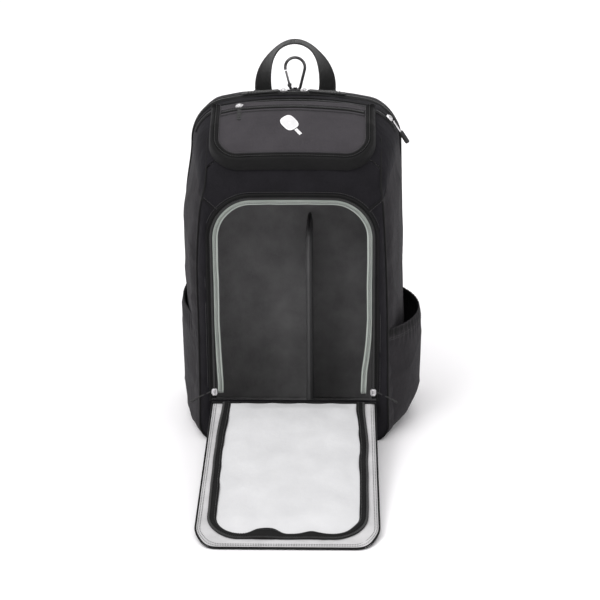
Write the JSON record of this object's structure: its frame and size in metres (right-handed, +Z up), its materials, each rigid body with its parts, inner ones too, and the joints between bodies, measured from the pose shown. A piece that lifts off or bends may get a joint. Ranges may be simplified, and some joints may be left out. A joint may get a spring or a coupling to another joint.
{
  "type": "racket backpack",
  "caption": "Upright padded backpack for rackets with a fold-down front door, slanted top pocket, two side pockets, grab handle, snap hook and padded back harness.",
  "frame": {"origin": "middle of the flat base, on the floor", "axes": "+Z up; -Y towards the front door; +X to the right of someone facing the front, the side of the bottle pocket"},
  "size_m": [0.3627, 0.5833, 0.5633],
  "materials": {
    "shell_fabric": "black woven polyester, slight sheen",
    "side_fabric": "black woven polyester",
    "trim_fabric": "black padded trim with piping",
    "lining_light": "off-white padded lining",
    "facing_grey": "pale grey stitched facing",
    "lining_grey": "smooth grey lining",
    "divider_foam": "dark grey padded divider",
    "binding_grey": "grey-green binding tape",
    "mesh": "black spacer mesh over foam",
    "webbing": "black polyester webbing",
    "zip_coil": "black nylon coil on tape",
    "zip_metal": "plated die-cast slider",
    "pull_rubber": "black moulded pull",
    "carabiner_metal": "dark gunmetal wire",
    "buckle_plastic": "black acetal"
  },
  "bodies": {
    "bag": {"back_panel": "side_fabric", "bottom_panel": "side_fabric", "top_rear_gusset": "side_fabric", "top_front_panel": "shell_fabric", "side_panel_left": "side_fabric", "side_panel_right": "side_fabric", "front_upper_panel": "shell_fabric", "front_lower_panel": "shell_fabric", "front_left_panel": "shell_fabric", "front_right_panel": "shell_fabric", "door_zip_track": "zip_coil", "opening_binding": "binding_grey", "compartment_partition": "lining_grey", "padded_divider": "divider_foam", "main_zip": "zip_coil", "organiser_zip": "zip_coil", "top_pocket_welt": "trim_fabric", "top_pocket": "shell_fabric", "top_pocket_zip": "zip_coil", "side_pocket_left": "side_fabric", "side_pocket_right": "side_fabric", "side_pocket_hem_left": "trim_fabric", "side_pocket_hem_right": "trim_fabric", "handle_anchor": "webbing", "carabiner_loop": "webbing", "strap_yoke": "side_fabric", "shoulder_strap_left": "mesh", "shoulder_strap_right": "mesh", "strap_adjuster_left": "buckle_plastic", "strap_adjuster_right": "buckle_plastic", "strap_webbing_left": "webbing", "strap_webbing_right": "webbing", "strap_anchor_left": "side_fabric", "strap_anchor_right": "side_fabric", "back_pad_left": "mesh", "back_pad_right": "mesh", "lumbar_pad": "mesh"},
    "front_door": {"door_panel": "shell_fabric", "door_facing": "facing_grey", "door_lining": "lining_light", "door_zip_tape": "trim_fabric"},
    "main_slider_left_body": {"main_slider_left": "zip_metal"},
    "main_slider_right_body": {"main_slider_right": "zip_metal"},
    "main_pull_left_body": {"main_pull_left": "pull_rubber"},
    "main_pull_right_body": {"main_pull_right": "pull_rubber"},
    "top_pocket_slider_body": {"top_pocket_slider": "zip_metal"},
    "top_pocket_pull_body": {"top_pocket_pull": "pull_rubber"},
    "shoulder_slider_body": {"shoulder_slider": "zip_metal"},
    "shoulder_pull_body": {"shoulder_pull": "zip_metal", "shoulder_pull_grip": "pull_rubber"},
    "door_slider_left_body": {"door_slider_left": "zip_metal"},
    "door_slider_right_body": {"door_slider_right": "zip_metal"},
    "door_pull_left_body": {"door_pull_left": "pull_rubber"},
    "door_pull_right_body": {"door_pull_right": "pull_rubber"},
    "handle": {"grab_handle": "webbing"},
    "carabiner": {"carabiner_body": "carabiner_metal", "carabiner_pin": "carabiner_metal"},
    "carabiner_gate_body": {"carabiner_gate": "carabiner_metal"}
  },
  "joints": [
    {"name": "front_door_hinge", "type": "hinge", "parent": "bag", "child": "front_door", "pos_m": [0, -0.1046, 0.066], "axis": [-1, 0, 0], "range_deg": [0, 100.39]},
    {"name": "main_slider_left_travel", "type": "hinge", "parent": "bag", "child": "main_slider_left_body", "pos_m": [0, 0.025, -0.06], "axis": [0, 1, 0], "range_deg": [-7.5, 0]},
    {"name": "main_slider_right_travel", "type": "hinge", "parent": "bag", "child": "main_slider_right_body", "pos_m": [0, 0.025, -0.06], "axis": [0, 1, 0], "range_deg": [0, 7.5]},
    {"name": "main_pull_left_flip", "type": "hinge", "parent": "main_slider_left_body", "child": "main_pull_left_body", "pos_m": [-0.02273, 0.025, 0.50279], "axis": [0, 1, 0], "range_deg": [0, 85]},
    {"name": "main_pull_right_flip", "type": "hinge", "parent": "main_slider_right_body", "child": "main_pull_right_body", "pos_m": [0.02273, 0.025, 0.50279], "axis": [0, -1, 0], "range_deg": [0, 85]},
    {"name": "top_pocket_slider_travel", "type": "hinge", "parent": "bag", "child": "top_pocket_slider_body", "pos_m": [0, -0.027, -0.0639], "axis": [0, 1, 0], "range_deg": [0, 16.5]},
    {"name": "top_pocket_pull_flip", "type": "hinge", "parent": "top_pocket_slider_body", "child": "top_pocket_pull_body", "pos_m": [-0.07608, -0.0337, 0.49146], "axis": [-1, 0, 0], "range_deg": [0, 110]},
    {"name": "shoulder_slider_travel", "type": "hinge", "parent": "bag", "child": "shoulder_slider_body", "pos_m": [0.0929, -0.002, 0.4268], "axis": [0, 1, 0], "range_deg": [-24, 0]},
    {"name": "shoulder_pull_swing", "type": "hinge", "parent": "shoulder_slider_body", "child": "shoulder_pull_body", "pos_m": [0.14451, -0.002, 0.46522], "axis": [0, 1, 0], "range_deg": [-50, 0]},
    {"name": "door_slider_left_travel", "type": "slide", "parent": "bag", "child": "door_slider_left_body", "axis": [0, 0, 1], "range_m": [0, 0.238]},
    {"name": "door_slider_right_travel", "type": "slide", "parent": "bag", "child": "door_slider_right_body", "axis": [0, 0, 1], "range_m": [0, 0.238]},
    {"name": "door_pull_left_swing", "type": "hinge", "parent": "door_slider_left_body", "child": "door_pull_left_body", "pos_m": [-0.1233, -0.10155, 0.079], "axis": [0, 1, 0], "range_deg": [0, 60]},
    {"name": "door_pull_right_swing", "type": "hinge", "parent": "door_slider_right_body", "child": "door_pull_right_body", "pos_m": [0.1233, -0.10155, 0.079], "axis": [0, -1, 0], "range_deg": [0, 60]},
    {"name": "grab_handle_fold", "type": "hinge", "parent": "bag", "child": "handle", "pos_m": [0, 0.098, 0.48], "axis": [-1, 0, 0], "range_deg": [0, 70]},
    {"name": "carabiner_swing", "type": "hinge", "parent": "bag", "child": "carabiner", "pos_m": [0, 0.086, 0.4866], "axis": [1, 0, 0], "range_deg": [0, 60]},
    {"name": "carabiner_gate_open", "type": "hinge", "parent": "carabiner", "child": "carabiner_gate_body", "pos_m": [-0.0084, 0.08675, 0.49515], "axis": [0, 0.9962, -0.0872], "range_deg": [0, 26], "stiffness_Nm_per_rad": 0.02, "springref_deg": -11.46}
  ]
}
